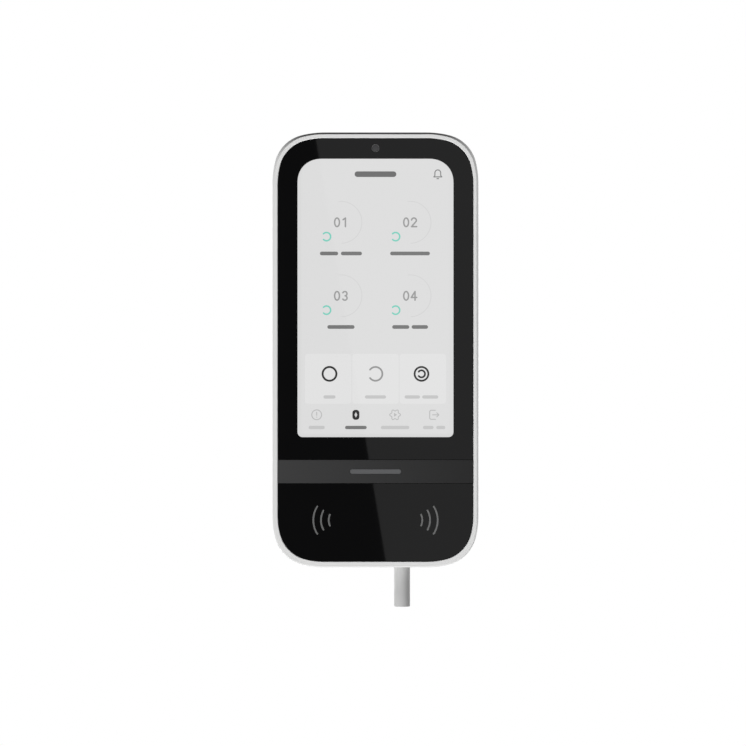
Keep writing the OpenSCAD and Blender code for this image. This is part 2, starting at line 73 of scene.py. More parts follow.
def span(node):
    """A CAD node's box in the flat frame: x0, x1, y0, y1, z0, z1 in mm."""
    a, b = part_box(node)
    return (a.x / MM, b.x / MM, a.z / MM, b.z / MM, -b.y / MM, -a.y / MM)


# ---------- materials ----------


class Nodes:
    """A node tree with short calls for adding and joining nodes."""

    def __init__(self, tree, keep=False):
        self.tree = tree
        if not keep:
            tree.nodes.clear()

    def add(self, kind, inputs=None, **settings):
        node = self.tree.nodes.new("ShaderNode" + kind)
        for key, value in settings.items():
            setattr(node, key, value)
        for key, value in (inputs or {}).items():
            self.put(node.inputs[key], value)
        return node

    def put(self, socket, value):
        if isinstance(value, bpy.types.NodeSocket):
            self.tree.links.new(value, socket)
        elif isinstance(value, bpy.types.Node):
            self.tree.links.new(value.outputs[0], socket)
        else:
            socket.default_value = value

    def math(self, operation, a, b=0.0, c=0.0, clamp=False):
        node = self.add("Math", operation=operation, use_clamp=clamp)
        for i, value in enumerate((a, b, c)):
            self.put(node.inputs[i], value)
        return node.outputs[0]

    def blend(self, factor, a, b):
        """Goes from a to b as the factor goes from 0 to 1."""
        node = self.add("Mix", data_type="RGBA")
        self.put(node.inputs["Factor"], factor)
        for key, value in ((6, a), (7, b)):
            self.put(node.inputs[key], (*value[:3], 1) if isinstance(value, tuple) else value)
        return node.outputs[2]

    def ramp(self, factor, start, end, low, high):
        """Goes from low to high as the factor goes from start to end."""
        return self.add("MapRange", {0: factor, 1: start, 2: end, 3: low, 4: high}).outputs[0]

    def noise(self, place, scale, detail=3.0, rough=0.5):
        settings = {"Vector": place, "Scale": scale, "Detail": detail, "Roughness": rough}
        return self.add("TexNoise", settings).outputs[0]

    def place(self):
        """The point on the object, in metres."""
        return self.add("TexCoord").outputs["Object"]


def blank_material(name):
    """A new material and its empty node tree."""
    m = bpy.data.materials.new(name)
    m.use_nodes = True
    return m, Nodes(m.node_tree)


def shade(c, k):
    return tuple(min(1.0, v * k) for v in c)


def surface(
    name,
    color,
    rough=0.5,
    metal=0.0,
    coat=0.0,
    spec=0.5,
    tint=(60, 0.03),
    grain=(2600, 0.05),
    sway=0.06,
    stretch=(1, 1, 1),
    soft_edge=0.0,
    painted_shading=None,
):
    """A finish with drifting colour, uneven gloss, a fine relief and, if asked, painted shading across it,
    all from nodes.

    tint: scale and depth of the colour drift; grain: scale and height in mm of the relief;
    sway: how far the roughness wanders; soft_edge: radius in mm that edges are rounded to;
    painted_shading: x in mm where a painted shading across the piece starts and ends, and the brightness
    factor at each; it stands in for light falling from one side.
    """
    m, n = blank_material(name)
    place = n.add("Mapping", {"Vector": n.place(), "Scale": stretch})
    drift = n.noise(place, tint[0], 4.0, 0.6)
    base = n.blend(drift, shade(color, 1 - tint[1]), shade(color, 1 + tint[1]))
    relief = n.noise(place, grain[0], 4.0, 0.65)
    gloss = n.noise(place, tint[0] * 3.1, 5.0, 0.6)
    bump = n.add("Bump", {"Height": relief, "Strength": 0.6, "Distance": grain[1] * MM})
    if soft_edge:
        n.put(bump.inputs["Normal"], n.add("Bevel", {"Radius": soft_edge * MM}, samples=4))
    # painted shading: the base colour is scaled from one brightness factor to another across x, as light
    # falling from one side would shade it
    if painted_shading:
        start, end, first, last = painted_shading
        along = n.add("SeparateXYZ", {0: n.place()}).outputs[0]
        painted_shade = n.add("VectorMath", {0: base}, operation="SCALE")
        n.put(painted_shade.inputs["Scale"], n.ramp(along, start * MM, end * MM, first, last))
        base = painted_shade.outputs[0]
    settings = {
        "Base Color": base,
        "Roughness": n.ramp(gloss, 0, 1, rough - sway, rough + sway),
        "Metallic": metal,
        "Coat Weight": coat,
        "Coat Roughness": 0.08,
        "Specular IOR Level": spec,
        "Normal": bump,
    }
    n.add("OutputMaterial", {"Surface": n.add("BsdfPrincipled", settings)})
    return m


def clear_glass(name):
    """See-through glass: its outer faces reflect by angle, and the rest goes straight through."""
    m, n = blank_material(name)
    place = n.place()
    ripple = n.add("Bump", {"Height": n.noise(place, 25, 2.0), "Strength": 0.02, "Distance": 0.02 * MM})
    gloss = n.ramp(n.noise(place, 180, 5.0, 0.7), 0, 1, 0.006, 0.022)
    shine = n.add("BsdfGlossy", {"Roughness": gloss, "Normal": ripple})
    through = n.add("BsdfTransparent", {"Color": (0.985, 0.985, 0.985, 1)})
    outer = n.math("SUBTRACT", 1.0, n.add("NewGeometry").outputs["Backfacing"])
    edge = n.math("MULTIPLY", n.add("Fresnel", {"IOR": 1.5, "Normal": ripple}), outer)
    m.surface_render_method = "BLENDED"
    n.add("OutputMaterial", {"Surface": n.add("MixShader", {0: edge, 1: through, 2: shine})})
    return m


def screen_finish(name, lit):
    """A lit part of the picture: its own light, with a faint grain of the display's cells."""
    m, n = blank_material(name)
    cells = n.math("MULTIPLY", n.noise(n.place(), 2400, 2.0), 0.432)
    uneven = n.math("MULTIPLY_ADD", n.noise(n.place(), 30, 2.0), 0.576, cells)
    color = n.blend(uneven, shade(lit, 0.988), shade(lit, 1.012))
    settings = {
        "Base Color": n.blend(0.93, color, (0.0, 0.0, 0.0)),
        "Emission Color": color,
        "Emission Strength": 0.99,
        "Roughness": 0.6,
        "Specular IOR Level": 0.0,
    }
    n.add("OutputMaterial", {"Surface": n.add("BsdfPrincipled", settings)})
    return m


def board_finish(name, color):
    """Solder mask with copper runs under it."""
    m = surface(name, color, rough=0.35, coat=0.4, grain=(900, 0.02), tint=(40, 0.08))
    n = Nodes(m.node_tree, keep=True)
    layout = {"Vector": n.place(), "Scale": 260, "Mortar Size": 0.03, "Row Height": 0.3}
    layout["Brick Width"] = 1.7
    tracks = n.math("MULTIPLY", n.add("TexBrick", layout).outputs["Fac"], 0.45)
    body = m.node_tree.nodes["Principled BSDF"]
    n.put(body.inputs["Base Color"], n.blend(tracks, color, shade(color, 1.9)))
    return m


# ---------- meshes ----------


def finish_mesh(name, verts, faces, material, body, smooth=35, slot=None):
    """A piece from points of the flat frame. smooth: shading angle in degrees, or 0 for flat faces."""
    mesh = bpy.data.meshes.new(name)
    mesh.from_pydata([at(v) for v in verts], [], faces)
    mesh.validate()
    mesh.update()
    for p in mesh.polygons:
        p.use_smooth = smooth > 0
    if smooth > 0:
        mesh.set_sharp_from_angle(angle=math.radians(smooth))
    mesh.materials.append(material)
    piece = bpy.data.objects.new(name, mesh)
    scene.collection.objects.link(piece)
    if body:
        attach(piece, body)
    return piece


def loft(rings, caps=False):
    """Verts and faces through rings of equal length.

    With caps the two ends are closed. Without, the last ring joins the first.
    """
    count = len(rings[0])
    verts = [p for ring in rings for p in ring]
    faces = []
    for i in range(len(rings) - 1 if caps else len(rings)):
        a, b = i * count, (i + 1) % len(rings) * count
        for k in range(count):
            j = (k + 1) % count
            faces.append((a + k, a + j, b + j, b + k))
    if caps:
        faces.append(tuple(reversed(range(count))))
        faces.append(tuple(range(len(verts) - count, len(verts))))
    return verts, faces


def turned(points, centre, axis="z", steps=48):
    """Rings for loft: (radius, height) points turned round an axis through centre."""
    rings = []
    angles = [2 * math.pi * k / steps for k in range(steps)]
    for r, h in points:
        flat = [(r * math.cos(q), r * math.sin(q)) for q in angles]
        if axis == "z":
            rings.append([(centre[0] + u, centre[1] + v, h) for u, v in flat])
        else:
            rings.append([(centre[0] + u, h, centre[1] + v) for u, v in reversed(flat)])
    return rings


def gathered(parts):
    """One list of verts and one of faces from several lofts."""
    verts, faces = [], []
    for more, around in parts:
        start = len(verts)
        verts += more
        faces += [tuple(start + i for i in face) for face in around]
    return verts, faces


def block(x0, x1, y0, y1, z0, z1):
    plan = [(x0, y0), (x1, y0), (x1, y1), (x0, y1)]
    return loft([[(x, y, z) for x, y in plan] for z in (z0, z1)], caps=True)


def rod(x, y, r, low, high, axis="z"):
    return loft(turned([(r, low), (r, high)], (x, y), axis, 32), caps=True)


def shade_flats(piece):
    """Flat shading on the faces turned straight to the front or back, so reflections stay straight."""
    for p in piece.data.polygons:
        if abs(p.normal.y) > 0.9995:
            p.use_smooth = False


def bake(piece):
    """Applies a piece's modifiers."""
    graph = bpy.context.evaluated_depsgraph_get()
    mesh = bpy.data.meshes.new_from_object(piece.evaluated_get(graph))
    piece.modifiers.clear()
    piece.data = mesh


def smoothed(piece, angle):
    """Smooth shading, with the edges sharper than angle degrees left crisp."""
    for p in piece.data.polygons:
        p.use_smooth = True
    piece.data.set_sharp_from_angle(angle=math.radians(angle))


def soften(piece, width, segments):
    """Rounds the piece's edges by width mm."""
    m = piece.modifiers.new("edges", "BEVEL")
    m.width, m.segments, m.limit_method = width * MM, segments, "ANGLE"
    m.angle_limit = math.radians(50)
    bake(piece)
    smoothed(piece, 40)
    shade_flats(piece)


def carve(piece, cutter):
    """Cuts the cutter out of the piece and removes the cutter."""
    cut = piece.modifiers.new("holes", "BOOLEAN")
    cut.object, cut.operation, cut.solver = cutter, "DIFFERENCE", "EXACT"
    bake(piece)
    bpy.data.objects.remove(cutter)


def arc(cx, cy, r, a0, a1, steps):
    angles = [math.radians(a0 + (a1 - a0) * i / steps) for i in range(steps + 1)]
    return [(cx + r * math.cos(a), cy + r * math.sin(a)) for a in angles]


def circle(cx, cy, r, steps):
    return arc(cx, cy, r, 0, 360, steps)[:-1]


def rounded(cx, cy, w, h, r, steps=8):
    """A rounded rectangle's outline."""
    pts = []
    for sx, sy, a in ((1, 1, 0), (-1, 1, 90), (-1, -1, 180), (1, -1, 270)):
        pts += arc(cx + sx * (w / 2 - r), cy + sy * (h / 2 - r), r, a, a + 90, steps)
    return pts


def eased(cx, cy, w, h, top, low, steps=14):
    """A rectangle with eased top corners, top = (across, down), and round bottom corners."""
    power = 2 / 2.2
    quarter = []
    for i in range(steps + 1):
        c, q = math.cos(math.pi / 2 * i / steps), math.sin(math.pi / 2 * i / steps)
        quarter.append((w / 2 - top[0] + top[0] * c**power, h / 2 - top[1] + top[1] * q**power))
    pts = quarter + [(-x, y) for x, y in reversed(quarter)]
    pts += arc(-w / 2 + low, -h / 2 + low, low, 180, 270, 8)
    pts += arc(w / 2 - low, -h / 2 + low, low, 270, 360, 8)
    return [(cx + x, cy + y) for x, y in pts]


def area(loop):
    """The area inside a closed loop of points, negative where it runs clockwise."""
    return sum(a[0] * b[1] - b[0] * a[1] for a, b in zip(loop, loop[1:] + loop[:1])) / 2


def beside(path, w, closed):
    """The path moved w to its left and w to its right."""
    left, right, size = [], [], len(path)
    for i, (x, y) in enumerate(path):
        a = path[(i - 1) % size] if closed or i else path[i]
        b = path[(i + 1) % size] if closed or i < size - 1 else path[i]
        dx, dy = b[0] - a[0], b[1] - a[1]
        length = math.hypot(dx, dy)
        nx, ny = -dy / length * w, dx / length * w
        left.append((x + nx, y + ny))
        right.append((x - nx, y - ny))
    return left, right


class Sheet:
    """Thin flat shapes gathered into one mesh, between the levels z0 and z1."""

    def __init__(self, z0, z1):
        self.z0, self.z1, self.verts, self.faces = z0, z1, [], []

    def shape(self, loop, holes=()):
        loops = [list(loop)] + [list(h) for h in holes]
        flat = [p for one in loops for p in one]
        start, count = len(self.verts), len(flat)
        self.verts += [(x, y, self.z1) for x, y in flat] + [(x, y, self.z0) for x, y in flat]
        if holes:
            cut = tessellate_polygon([[Vector((x, y, 0)) for x, y in one] for one in loops])
        else:
            cut = [tuple(range(count))]
        for t in cut:
            t = tuple(t) if area([flat[i] for i in t]) > 0 else tuple(reversed(t))
            self.faces.append(tuple(start + i for i in t))
            self.faces.append(tuple(start + count + i for i in reversed(t)))
        first = 0
        for index, one in enumerate(loops):
            size = len(one)
            turn = (area(one) > 0) == (index == 0)
            for i in range(size):
                a, b = start + first + i, start + first + (i + 1) % size
                a, b = (a, b) if turn else (b, a)
                self.faces.append((b, a, a + count, b + count))
            first += size
        return self

    def stroke(self, path, width, closed=False):
        """A line of one width along a path, with round ends and round joins at sharp corners."""
        w, size = width / 2, len(path)
        if closed:
            left, right = beside(path if area(path) > 0 else path[::-1], w, True)
            return self.shape(right, [left[::-1]])
        start = 0
        for i in range(1, size):
            if i < size - 1:
                (ax, ay), (bx, by), (cx, cy) = path[i - 1 : i + 2]
                turn = math.atan2(cy - by, cx - bx) - math.atan2(by - ay, bx - ax)
                if abs(math.remainder(turn, 2 * math.pi)) < math.radians(40):
                    continue
            run = path[start : i + 1]
            start = i
            left, right = beside(run, w, False)
            ends = []
            for (x, y), (px, py) in ((run[0], run[1]), (run[-1], run[-2])):
                a = math.degrees(math.atan2(y - py, x - px))
                ends.append(arc(x, y, w, a - 90, a + 90, 8)[1:-1])
            self.shape(right + ends[1] + left[::-1] + ends[0])
        return self

    def make(self, name, material, body, slot=None):
        return finish_mesh(name, self.verts, self.faces, material, body, smooth=0, slot=slot)


# ---------- sizes read from the frame ----------

shell = span("front_frame")
cover = span("rear_cover")
glass = span("cover_glass")
window = span("reader_window")
strip = span("accent_strip")
cell = span("lcd_panel")
lens = span("sensor_lens")
lock = span("locking_screw")
cable = span("cable_jacket")


def middle(node):
    """The middle of a CAD node as seen from the front."""
    x0, x1, y0, y1, _, _ = span(node)
    return ((x0 + x1) / 2, (y0 + y1) / 2)


body_w, body_h = shell[1] - shell[0], shell[3] - shell[2]
low_y = -body_h / 2
front_z, split_z, back_z = shell[5], shell[4], cover[4]
glass_z, glue_z = glass[5], glass[4]
glass_u = (body_w - (glass[1] - glass[0])) / 2  # how far the glass's edge lies inside the body's
rim = glass_u - 0.1
lens_x, lens_y = middle("sensor_lens")
lens_r = (lens[1] - lens[0]) / 2
lock_x, lock_z = (lock[0] + lock[1]) / 2, (lock[4] + lock[5]) / 2
cable_x, cable_z = (cable[0] + cable[1]) / 2, (cable[4] + cable[5]) / 2
cable_r = (cable[1] - cable[0]) / 2


def outline(inset, z, rounder=0.0, trim=0.0):
    """The body's outline moved in by inset. Each corner is a long, a tight and a long arc.

    rounder: what is added to the radius of the tight arc; trim: what is taken off each side.
    """
    far, near, turn = 34.0, 15.4 + rounder, 14.0
    step = far - near
    c = far - step * math.cos(math.radians(turn))
    reach = c + step * math.sin(math.radians(turn))
    w, h = body_w / 2 - trim, body_h / 2
    quarter = arc(w - far, h - reach, far - inset, 0, turn, 6)
    quarter += arc(w - c, h - c, near - inset, turn, 90 - turn, 18)[1:]
    quarter += arc(w - reach, h - far, far - inset, 90 - turn, 90, 6)[1:]
    pts = list(quarter)
    pts += [(-x, y) for x, y in reversed(quarter)]
    pts += [(-x, -y) for x, y in quarter]
    pts += [(x, -y) for x, y in reversed(quarter)]
    return [(x, y, z) for x, y in pts]


def skin_ring(u, z, rounder=0.0):
    """A ring of the housing's outside: a little slimmer and with tighter corners than the outline."""
    tighter, slimmer = 0.5, 0.3
    return outline(u, z, rounder - tighter, slimmer)


# ---------- finishes ----------

white = surface(
    "white_shell", (0.83, 0.83, 0.825), 0.42, spec=0.4, tint=(35, 0.012), grain=(5200, 0.012), sway=0.04
)
white_back = surface(
    "white_plate", (0.8, 0.8, 0.795), 0.5, spec=0.35, tint=(45, 0.02), grain=(4200, 0.02), soft_edge=0.18
)
black_glass = surface(
    "black_glass", (0.0044, 0.0044, 0.0046), 0.011, tint=(50, 0.1), grain=(25, 0.0003), sway=0.004
)
clear = clear_glass("clear_pane")
matt_strip = surface(
    "matt_strip",
    (0.0515, 0.0515, 0.052),
    0.62,
    spec=0.3,
    tint=(2400, 0.14),
    grain=(5200, 0.03),
    sway=0.05,
    # painted shade: the strip's colour falls to half toward its right end, as if lit from the left
    painted_shading=(strip[0], strip[1], 1.02, 0.5),
)
jacket = surface(
    "cable_sheath",
    (0.5, 0.5, 0.498),
    0.38,
    spec=0.45,
    tint=(120, 0.03),
    grain=(1500, 0.03),
    stretch=(1, 1, 0.3),
    # painted highlight on the cable's left side and painted shade on its right side
    painted_shading=(cable[0], cable[1], 1.18, 0.68),
)
lens_finish = surface("smoked_lens", (0.062, 0.062, 0.064), 0.3, spec=0.3, grain=(800, 0.003))
ring_finish = surface("lens_ring", (0.15, 0.15, 0.152), 0.4, grain=(2500, 0.004))
wave_print = surface(
    "grey_print", (0.16, 0.16, 0.16), 0.3, coat=1.0, spec=0.2, tint=(600, 0.04), grain=(2500, 0.001)
)
bare_copper = surface(
    "bare_copper", (0.75, 0.36, 0.2), 0.3, metal=1, grain=(6000, 0.03), stretch=(1, 1, 0.2)
)

slot_finish = {
    "shell_plastic": white_back,
    "strip_plastic": matt_strip,
    "cable_sheath": jacket,
    "lens_plastic": lens_finish,
    "light_pipe": surface("frosted_bar", (0.12, 0.122, 0.126), 0.4, coat=0.2, grain=(3000, 0.015)),
    "foam": surface("black_foam", (0.03, 0.03, 0.03), 0.95, tint=(900, 0.3), grain=(2500, 0.15)),
    "clear_sheet": surface("sensor_film", (0.2, 0.21, 0.22), 0.15, coat=0.5, grain=(300, 0.004)),
    "display_cell": surface("display_cell", (0.45, 0.46, 0.47), 0.25, grain=(3000, 0.004)),
    "sheet_steel": surface(
        "bright_sheet",
        (0.6, 0.61, 0.63),
        0.3,
        metal=1,
        tint=(90, 0.08),
        grain=(700, 0.01),
        stretch=(1, 1, 18),
    ),
    "flex": surface(
        "amber_film", (0.42, 0.2, 0.045), 0.3, coat=0.4, tint=(200, 0.15), grain=(500, 0.01)
    ),
    "chassis_plastic": surface(
        "dark_chassis", (0.045, 0.045, 0.05), 0.6, grain=(2200, 0.04), soft_edge=0.15
    ),
    "circuit_board": board_finish("board_mask", (0.015, 0.13, 0.05)),
    "led": surface(
        "led_body", (0.75, 0.7, 0.5), 0.25, coat=0.5, tint=(1500, 0.15), grain=(4000, 0.004)
    ),
    "copper": surface(
        "copper_run", (0.72, 0.35, 0.17), 0.28, metal=1, tint=(500, 0.1), grain=(3000, 0.005)
    ),
    "ferrite": surface("ferrite_film", (0.045, 0.045, 0.05), 0.7, tint=(700, 0.2), grain=(2000, 0.02)),
    "chip": surface("black_epoxy", (0.02, 0.02, 0.022), 0.5, tint=(300, 0.15), grain=(5000, 0.01)),
    "connector": surface("ivory_nylon", (0.7, 0.66, 0.55), 0.45, grain=(2600, 0.01), soft_edge=0.08),
    "brass": surface("brass", (0.78, 0.57, 0.24), 0.25, metal=1, tint=(700, 0.1), grain=(1500, 0.006)),
    "terminal_plastic": surface(
        "green_block", (0.03, 0.26, 0.12), 0.4, grain=(2600, 0.015), soft_edge=0.15
    ),
    "zinc_steel": surface(
        "zinc_plate", (0.6, 0.6, 0.61), 0.28, metal=1, tint=(800, 0.15), grain=(1600, 0.012), soft_edge=0.08
    ),
    "plunger_plastic": surface("ivory_acetal", (0.78, 0.75, 0.66), 0.35, grain=(3000, 0.008)),
    "button_plastic": surface("grey_button", (0.3, 0.31, 0.32), 0.5, grain=(3600, 0.02)),
    "tie_plastic": surface("nylon_tie", (0.75, 0.74, 0.7), 0.4, grain=(2600, 0.01), soft_edge=0.1),
}

for part in frame["record"]["subparts"]:
    made = slot_finish.get(part["material_slot"])
    if made is not None:
        materials = frame["nodes"][part["node"]].data.materials
        materials.clear()
        materials.append(made)

# ---------- front frame: one moulded shell with a soft outer edge ----------

ledge_z, ledge_u, ledge_t = glue_z - 0.4, 4.4, 1.2
wall_t = 2
glass_rounder = 0.65

# The outer edge is a fine rounding, a long slope and a fine rounding: each one's radius, and the
# angles to the front at which it starts and ends.
edge_arcs = ((0.2, 90, 66), (4.9, 66, 50), (0.2, 50, 0))


def edge_path():
    """How far in and how far forward the outer edge goes, in points from its foot to the front."""
    path, u, z = [], 0, 0
    for r, first, last in edge_arcs:
        for k in range(5):
            a, b = (math.radians(first + (last - first) * j / 5) for j in (k, k + 1))
            u += r * (math.sin(a) - math.sin(b))
            z += r * (math.cos(b) - math.cos(a))
            path.append((u, z))
    return path


def edge_ring(u, z, rounder=0.5):
    """A ring of the outer edge. Its top corners are rounder, and along the bottom the edge is finer."""
    finest, low_start, low_h = 0.5, 58, 24
    ring = []
    for a, b, c in zip(skin_ring(u, z, rounder), skin_ring(u, z), skin_ring(u * finest, z)):
        share = min(1.0, max(0.0, (-b[1] - low_start) / low_h))
        ring.append(a if a[1] > 0 else tuple(p + (q - p) * share for p, q in zip(b, c)))
    return ring


edge = edge_path()
foot_z = front_z - edge[-1][1]
# the groove between the two halves: how far in it goes, and at which distance from the joint
groove = ((0.14, 0), (0.03, 0.05), (0, 0.16))
# how the top corners swell just below the edge's foot: how far down, and what their radius gains
swell = ((5, 0), (1.1, -0.45), (0.5, 0), (0, 0.5))
rings = [skin_ring(u, split_z + d) for u, d in groove]
rings += [edge_ring(0, foot_z - down, rounder) for down, rounder in swell]
rings += [edge_ring(u, foot_z + z) for u, z in edge]
lip = [(rim - 0.16, front_z), (rim - 0.05, front_z - 0.05), (rim, front_z - 0.16), (rim, ledge_z)]
rings += [outline(u, z, glass_rounder) for u, z in lip]
ledge = [(ledge_u, ledge_z), (ledge_u, ledge_z - ledge_t), (wall_t, ledge_z - ledge_t), (wall_t, split_z)]
rings += [outline(u, z) for u, z in ledge]
front = finish_mesh("front_shell", *loft(rings), white, "housing", smooth=50, slot="shell_plastic")
shade_flats(front)
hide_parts("front_frame")

# ---------- rear cover: curves in to the back plate ----------

bend, bend_z = 8.0, split_z - 0.9
tongue_u, tongue_t, tongue_h, tongue_foot = 2.2, 1.0, 0.7, 9
inner_u, inner_z = 4.4, 5.6
profile = [(3.4, back_z), (3.72, back_z + 0.02)]
for q in (math.radians(a) for a in range(124, 181, 4)):
    u, z = bend + bend * math.cos(q), bend_z - bend * math.sin(q)
    if z > back_z + 0.06:
        profile.append((u, z))
profile += [(u, split_z - d) for u, d in reversed(groove)]
# the tongue inside the front frame, then down the inner wall to the inner floor
profile += [(tongue_u, split_z), (tongue_u + 0.05, split_z + tongue_h)]
profile += [(tongue_u + tongue_t, split_z + tongue_h), (tongue_u + tongue_t, tongue_foot)]
profile.append((inner_u, inner_z))
rear = finish_mesh("rear_shell", *loft([skin_ring(u, z) for u, z in profile], caps=True), white, None)

through = inner_z + 0.9  # cuts from the wall to here go right through the floor of the cover
outside = low_y - 4
# slots for the plate's hooks, and the holes of the case screws
hook_x, hook_half, hook_rows, hook_down, hook_up = 29, 4.5, (50, -34), 8.3, 2.5
screw_x, screw_rows, screw_r, screw_top = body_w / 2 - 4.95, (64, 6, -62), 2.0, 6.0
# the notch for the locking screw, and the bay and the bore for the cable
lock_half, lock_in, lock_h = 6.6, 4.5, lock_z + 3.4
bay_half, bay_low, bay_top = 11.7, low_y + 7.5, low_y + 51.5
bore_gap, bore_top = 0.2, low_y + 6.5
# round holes: plunger, power button and sound
plunger_r, button_r, sound_r, sound_ring = 1.36, 2.3, 0.6, 2.4

cuts = [
    block(lock_x - lock_half, lock_x + lock_half, outside, low_y + lock_in, 0, lock_h),
    block(cable_x - bay_half, cable_x + bay_half, bay_low, bay_top, 0, through),
    rod(cable_x, cable_z, cable_r + bore_gap, outside, bore_top, "y"),
]
for side in (-1, 1):
    x = side * hook_x
    cuts += [block(x - hook_half, x + hook_half, y - hook_down, y + hook_up, 0, through) for y in hook_rows]
    cuts += [rod(side * screw_x, y, screw_r, 0, screw_top) for y in screw_rows]
for node, r in (("tamper_plunger", plunger_r), ("power_button", button_r), ("buzzer", sound_r)):
    cuts.append(rod(*middle(node), r, 0, through))
cuts += [rod(x, y, sound_r, 0, through) for x, y in circle(*middle("buzzer"), sound_ring, 6)]
carve(rear, finish_mesh("cutter", *gathered(cuts), white, None, smooth=0))
smoothed(rear, 24)
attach(rear, "housing")
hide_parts("rear_cover")

# ---------- glass: a black pane with an opening, and a clear one in the opening ----------


def pane_outline(inset, cut, upper):
    """The glass's outline above or below a straight cut across the body."""
    pts = [(x, y) for x, y, _ in outline(inset, 0, glass_rounder) if (y > cut) == upper]
    w = body_w / 2 - inset
    return pts + ([(-w, cut), (w, cut)] if upper else [(w, cut), (-w, cut)])


def add_pane(name, loop, node, openings=()):
    """A black pane with softly rounded edges that stands for a CAD node."""
    pane = Sheet(glue_z + 0.02, glass_z).shape(loop).make(name, black_glass, "housing", "black_glass")
    soften(pane, 0.1, 3)
    if openings:
        cutter = Sheet(glue_z - 1, glass_z + 1)
        for opening in openings:
            cutter.shape(opening)
        carve(pane, cutter.make("cutter", black_glass, None))
        pane.data.set_sharp_from_angle(angle=math.radians(40))
        shade_flats(pane)
    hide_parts(node)


screen_w, screen_h = 62.0, 110.7
screen_x, screen_top = (cell[0] + cell[1]) / 2, cell[3] - 1.9
screen_y = screen_top - screen_h / 2
view_corner, view_foot = (9.9, 9.6), 2.0


def view_shape(wider, foot=view_foot):
    """The display's outline, made wider and taller by some mm."""
    return eased(screen_x, screen_y, screen_w + wider, screen_h + wider, view_corner, foot)


lens_hole = circle(lens_x, lens_y, lens_r + 0.05, 40)
add_pane("glass_pane", pane_outline(glass_u, glass[2], True), "cover_glass", [view_shape(0), lens_hole])
add_pane("reader_pane", pane_outline(glass_u, window[3], False), "reader_window")
Sheet(glue_z + 0.4, glass_z).shape(view_shape(-0.02)).make("glass_view", clear, "housing", "black_glass")

# ---------- strip across the front ----------

strip_x, strip_y = middle("accent_strip")
slot_w, slot_h, slot_r = 20.4, 2.0, 0.9
band = rounded(strip_x, strip_y, strip[1] - strip[0], strip[3] - strip[2], 0.12, 3)
light_slot = rounded(0, strip_y, slot_w, slot_h, slot_r)
front_strip = Sheet(strip[4], strip[5] - 0.03).shape(band, [light_slot])
front_strip = front_strip.make("front_strip", matt_strip, "housing", "strip_plastic")
soften(front_strip, 0.12, 2)
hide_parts("accent_strip")

# ---------- what the display shows ----------

# Places on the display are in mm, right of its middle line and down from its top edge.
deck, lift = glue_z + 0.12, 0.04
on_picture, on_cards = (deck, deck + lift), (deck + lift, deck + 2 * lift)
on_icons = (deck + 2 * lift, deck + 2.6 * lift)
tile_x, tile_rows, tile_r = 13.75, (25.25, 54.5), 8.35
tiles = [(x, y) for y in tile_rows for x in (-tile_x, tile_x)]
card_x, card_y, card_w, card_h, card_r = 18.85, 87.5, 18.5, 19.9, 1.27
sign_x, sign_y, sign_r = 18.3, 85.55, 2.74
menu_x, menu_y, menu_chosen = (-23.4, -7.8, 7.8, 23.4), 101.85, 1
bell_x, bell_y, bell_r = 24.8, 5.55, 1.15

# Plain bars stand in for the words, each from its left to its right end.
label_ends = (((-8.35, -1.1), (0, 8.35)), ((-7.9, 7.9),), ((-5.4, 5.4),), ((-7.1, -0.3), (0.65, 7.15)))
card_ends = (((-2.4, 2.4),), ((-4.2, 4.2),), ((-6.7, -0.6), (0.3, 6.7)))
menu_ends = (((-3.2, 3.2),), ((-4.3, 4.3),), ((-5.65, 5.65),), ((-4.5, -0.3), (0.8, 4.35)))


def lit_color(*levels):
    """A linear colour from one grey level or three colour levels of 0 to 255."""
    linear = [v / 255 / 12.92 if v < 10.3 else ((v / 255 + 0.055) / 1.055) ** 2.4 for v in levels]
    return tuple(linear * 3 if len(linear) == 1 else linear)


class Layer(Sheet):
    """Flat shapes of one tone, placed by the display's middle line and top edge."""

    def spot(self, x, y):
        return (screen_x + x, screen_top - y)

    def spots(self, x, y, pts):
        """Points given from x, y."""
        return [self.spot(x + a, y + b) for a, b in pts]

    def bars(self, x, y, h, ends):
        for a, b in ends:
            self.shape(rounded(*self.spot(x + (a + b) / 2, y), b - a, h, h * 0.49, 5))

    def line(self, x, y, width, *pts, closed=False):
        """A stroke through points given from x, y."""
        self.stroke(self.spots(x, y, pts), width, closed)

    def ring(self, x, y, r, width):
        self.stroke(circle(*self.spot(x, y), r, 48), width, closed=True)

    def open_ring(self, x, y, r, width, opening):
        half = 180 - opening / 2
        self.stroke(arc(*self.spot(x, y), r, -half, half, 30), width)

    def show(self, name, *levels):
        tone = screen_finish(name + "_tone", lit_color(*levels))
        self.make("display_" + name, tone, "housing", "display_cell")


def digit(layer, which, x, y, h=3.42, width=0.6):
    """A plain numeral from 0 to 4 as one stroke, h tall, centred on x and y."""
    a, b, r = h * 0.28, h * 0.5, h * 0.25
    if which == 0:
        turn = [2 * math.pi * k / 28 for k in range(28)]
        layer.line(x, y, width, *[(a * math.cos(q), b * math.sin(q)) for q in turn], closed=True)
        return
    strokes = {
        1: [(-a * 0.75, -b + h * 0.2), (a * 0.25, -b), (a * 0.25, b)],
        2: arc(0, -b + a, a, 190, 382, 16) + [(-a, b), (a * 1.1, b)],
        3: arc(0, -b + r, r, 205, 443, 17) + arc(0, b - r, r * 1.04, -90, 150, 16)[1:],
        4: [(a * 0.45, b), (a * 0.45, -b), (-a * 1.1, b * 0.38), (a * 1.15, b * 0.38)],
    }
    layer.line(x, y, width, *strokes[which])


def add_picture():
    """The pale picture, and the three cards on it."""
    picture = Layer(glue_z + 0.05, deck)
    picture.shape(view_shape(0.8, view_foot + 0.3))
    picture.show("picture", 223.5)
    cards = Layer(*on_picture)
    for x in (-card_x, 0, card_x):
        cards.shape(rounded(*cards.spot(x, card_y), card_w, card_h, card_r, 5))
    cards.show("cards", 229)


